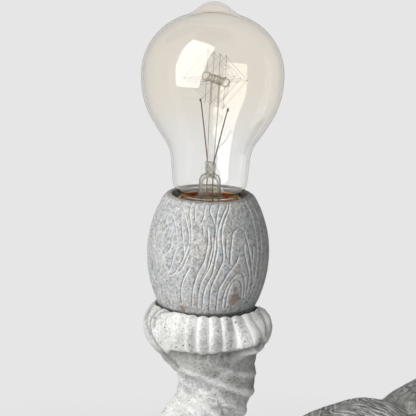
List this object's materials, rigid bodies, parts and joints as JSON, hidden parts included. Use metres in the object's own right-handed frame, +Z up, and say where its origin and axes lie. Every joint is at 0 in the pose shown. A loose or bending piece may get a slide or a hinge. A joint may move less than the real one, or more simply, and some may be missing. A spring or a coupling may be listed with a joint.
{
  "type": "table lamp",
  "caption": "Table lamp shaped as a standing elephant, its raised curled trunk carrying a wood-grained barrel with a bare pear-shaped bulb.",
  "frame": {"origin": "middle of the lamp's footprint, on the table", "axes": "+Z up, -X the way the elephant faces, +Y its right side"},
  "size_m": [0.2929, 0.106, 0.3677],
  "materials": {
    "casting": "cast resin and stone powder, weathered grey wash",
    "tusk": "cast resin, pale",
    "barrel": "cast resin with a carved wood grain, blue grey",
    "felt": "felt",
    "support_steel": "zinc plated",
    "cover": "moulded, grey",
    "bakelite": "moulded phenolic, dark brown",
    "block": "moulded, off white",
    "brass": "turned and pressed",
    "cap_brass": "rolled sheet",
    "tip_solder": "solder",
    "insulator": "fused insulating glass",
    "cement": "red brown cement",
    "lead": "insulated twin lead",
    "tinted_glass": "clear with a warm tint",
    "stem_glass": "clear",
    "lead_metal": "nickel and copper wire",
    "filament_metal": "tungsten wire"
  },
  "bodies": {
    "lamp": {"body_casting": "casting", "head_casting": "casting", "trunk_casting": "casting", "ear_left": "casting", "ear_right": "casting", "tail": "casting", "tusk_left": "tusk", "tusk_right": "tusk", "barrel_shade": "barrel", "foot_pads": "felt", "barrel_floor": "support_steel", "holder_locknut": "support_steel", "belly_screws": "support_steel", "block_screws": "support_steel", "plunger_spring": "support_steel", "belly_cover": "cover", "holder_base": "bakelite", "holder_core": "bakelite", "holder_skirt": "bakelite", "terminal_block": "block", "threaded_tube": "brass", "cord_gland": "brass", "gland_nut": "brass", "thread_shell": "brass", "holder_terminals": "brass", "centre_strip": "brass", "side_contact": "brass", "inner_cable": "lead", "wire_tails": "lead"},
    "bulb_tip": {"tip_contact": "tip_solder"},
    "bulb": {"glass_envelope": "tinted_glass", "glass_stem": "stem_glass", "cap_shell": "cap_brass", "cap_cement": "cement", "cap_insulator": "insulator", "lead_wires": "lead_metal", "filament_supports": "lead_metal", "filament": "filament_metal"},
    "plunger": {"contact_plunger": "brass"}
  },
  "joints": [
    {"name": "bulb_rise", "type": "slide", "parent": "lamp", "child": "bulb_tip", "axis": [0, 0, 1], "range_m": [0, 0.0182]},
    {"name": "bulb_turn", "type": "hinge", "parent": "bulb_tip", "child": "bulb", "pos_m": [-0.101, 0, 0.2625], "axis": [0, 0, 1], "range_deg": [0, 1800]},
    {"name": "contact_press", "type": "slide", "parent": "lamp", "child": "plunger", "axis": [0, 0, 1], "range_m": [-0.0015, 0], "stiffness_N_per_m": 800, "deforming": ["plunger_spring"]}
  ],
  "couplings": [
    {"joint": "bulb_rise", "follows": "bulb_turn", "m_per_rad": 0.00057751}
  ]
}
